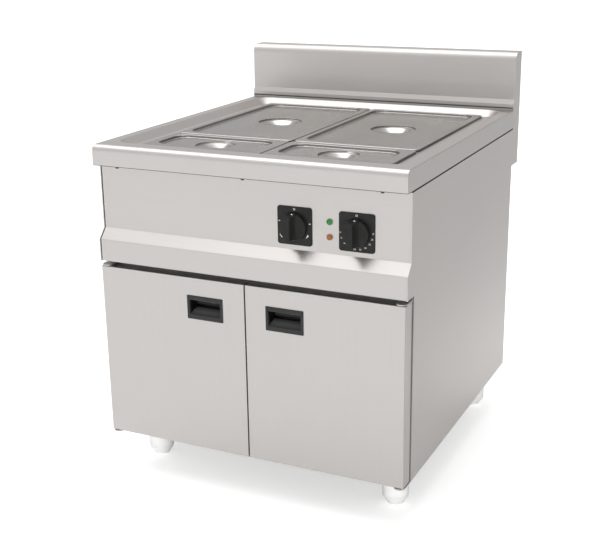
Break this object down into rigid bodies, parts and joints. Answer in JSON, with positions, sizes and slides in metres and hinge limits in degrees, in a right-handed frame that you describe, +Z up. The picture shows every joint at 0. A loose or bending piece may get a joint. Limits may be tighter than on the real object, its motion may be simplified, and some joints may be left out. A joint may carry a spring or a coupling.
{
  "type": "bain-marie",
  "caption": "Floor-standing electric bain-marie: covered gastronorm pans in a sunk water well, rear upstand, dial control panel and a hinged-door cupboard on levelling feet.",
  "frame": {"origin": "on the floor, under the middle of the outline", "axes": "+Z up, +X to the user's right, +Y from the front to the upstand"},
  "size_m": [0.8, 0.9, 1.005],
  "materials": {
    "steel": "fine brushed satin stainless",
    "inner_steel": "dull mill finish stainless",
    "pan_steel": "pressed satin stainless",
    "hinge_steel": "zinc plated, dull",
    "black_plastic": "moulded, lightly textured",
    "grey_plastic": "moulded, plain",
    "magnet": "ferrite block in a plastic case",
    "white_plastic": "smooth moulded",
    "green_lens": "clear moulded, unlit",
    "amber_lens": "clear moulded, unlit",
    "element_sheath": "heat darkened sheath",
    "brass": "dull nickel-washed brass",
    "lever_red": "dipped grip on a steel lever"
  },
  "bodies": {
    "cabinet": {"worktop": "steel", "tank_walls": "inner_steel", "tank_floor": "inner_steel", "pan_bars": "inner_steel", "upstand_shell": "steel", "upstand_cheeks": "steel", "side_panel_left": "steel", "side_panel_right": "steel", "back_panel": "inner_steel", "base_tray": "inner_steel", "front_rail": "inner_steel", "control_panel": "steel", "panel_screws": "hinge_steel", "switch_plate": "black_plastic", "thermostat_plate": "black_plastic", "switch_body": "black_plastic", "thermostat_body": "black_plastic", "thermostat_capillary": "brass", "green_lamp_lens": "green_lens", "amber_lamp_lens": "amber_lens", "lamp_bodies": "grey_plastic", "heating_elements": "element_sheath", "element_clamps": "inner_steel", "drain_fitting": "brass", "drain_valve": "brass", "drain_spout": "brass", "terminal_block": "grey_plastic", "cable_gland": "black_plastic", "bonding_stud": "hinge_steel", "back_screws": "hinge_steel", "top_hinges": "hinge_steel", "bottom_hinges": "hinge_steel", "hinge_pins": "hinge_steel", "door_magnets": "magnet", "leg_sleeves": "white_plastic"},
    "door_left": {"door_left_skin": "steel", "door_left_liner": "steel", "door_left_pull": "black_plastic", "door_left_bushes": "grey_plastic"},
    "door_right": {"door_right_skin": "steel", "door_right_liner": "steel", "door_right_pull": "black_plastic", "door_right_bushes": "grey_plastic"},
    "switch_dial": {"switch_knob": "black_plastic", "switch_spindle": "hinge_steel"},
    "thermostat_dial": {"thermostat_knob": "black_plastic", "thermostat_spindle": "hinge_steel"},
    "valve_lever": {"drain_lever": "lever_red"},
    "foot_front_left": {"foot_front_left": "white_plastic"},
    "pan_front_left": {"pan_front_left": "pan_steel"},
    "lid_front_left": {"lid_front_left": "pan_steel"},
    "foot_rear_left": {"foot_rear_left": "white_plastic"},
    "pan_rear_left": {"pan_rear_left": "pan_steel"},
    "lid_rear_left": {"lid_rear_left": "pan_steel"},
    "foot_front_right": {"foot_front_right": "white_plastic"},
    "pan_front_right": {"pan_front_right": "pan_steel"},
    "lid_front_right": {"lid_front_right": "pan_steel"},
    "foot_rear_right": {"foot_rear_right": "white_plastic"},
    "pan_rear_right": {"pan_rear_right": "pan_steel"},
    "lid_rear_right": {"lid_rear_right": "pan_steel"}
  },
  "joints": [
    {"name": "door_left_hinge", "type": "hinge", "parent": "cabinet", "child": "door_left", "pos_m": [-0.3845, -0.434, 0.1075], "axis": [0, 0, -1], "range_deg": [0, 110]},
    {"name": "door_right_hinge", "type": "hinge", "parent": "cabinet", "child": "door_right", "pos_m": [0.3845, -0.434, 0.1075], "axis": [0, 0, 1], "range_deg": [0, 110]},
    {"name": "switch_turn", "type": "hinge", "parent": "cabinet", "child": "switch_dial", "pos_m": [0.122, -0.422, 0.697], "axis": [0, 1, 0], "range_deg": [0, 270]},
    {"name": "thermostat_turn", "type": "hinge", "parent": "cabinet", "child": "thermostat_dial", "pos_m": [0.273, -0.422, 0.697], "axis": [0, 1, 0], "range_deg": [0, 280]},
    {"name": "valve_turn", "type": "hinge", "parent": "cabinet", "child": "valve_lever", "pos_m": [-0.19, -0.303, 0.577], "axis": [0, 1, 0], "range_deg": [0, 90]},
    {"name": "pan_front_left_lift", "type": "slide", "parent": "cabinet", "child": "pan_front_left", "axis": [0, 0, 1], "range_m": [0, 0.36]},
    {"name": "lid_front_left_lift", "type": "slide", "parent": "pan_front_left", "child": "lid_front_left", "axis": [0, 0, 1], "range_m": [0, 0.2]},
    {"name": "pan_rear_left_lift", "type": "slide", "parent": "cabinet", "child": "pan_rear_left", "axis": [0, 0, 1], "range_m": [0, 0.36]},
    {"name": "lid_rear_left_lift", "type": "slide", "parent": "pan_rear_left", "child": "lid_rear_left", "axis": [0, 0, 1], "range_m": [0, 0.2]},
    {"name": "pan_front_right_lift", "type": "slide", "parent": "cabinet", "child": "pan_front_right", "axis": [0, 0, 1], "range_m": [0, 0.36]},
    {"name": "lid_front_right_lift", "type": "slide", "parent": "pan_front_right", "child": "lid_front_right", "axis": [0, 0, 1], "range_m": [0, 0.2]},
    {"name": "pan_rear_right_lift", "type": "slide", "parent": "cabinet", "child": "pan_rear_right", "axis": [0, 0, 1], "range_m": [0, 0.36]},
    {"name": "lid_rear_right_lift", "type": "slide", "parent": "pan_rear_right", "child": "lid_rear_right", "axis": [0, 0, 1], "range_m": [0, 0.2]},
    {"name": "foot_front_left_level", "type": "slide", "parent": "cabinet", "child": "foot_front_left", "axis": [0, 0, -1], "range_m": [0, 0.03]},
    {"name": "foot_rear_left_level", "type": "slide", "parent": "cabinet", "child": "foot_rear_left", "axis": [0, 0, -1], "range_m": [0, 0.03]},
    {"name": "foot_front_right_level", "type": "slide", "parent": "cabinet", "child": "foot_front_right", "axis": [0, 0, -1], "range_m": [0, 0.03]},
    {"name": "foot_rear_right_level", "type": "slide", "parent": "cabinet", "child": "foot_rear_right", "axis": [0, 0, -1], "range_m": [0, 0.03]}
  ]
}
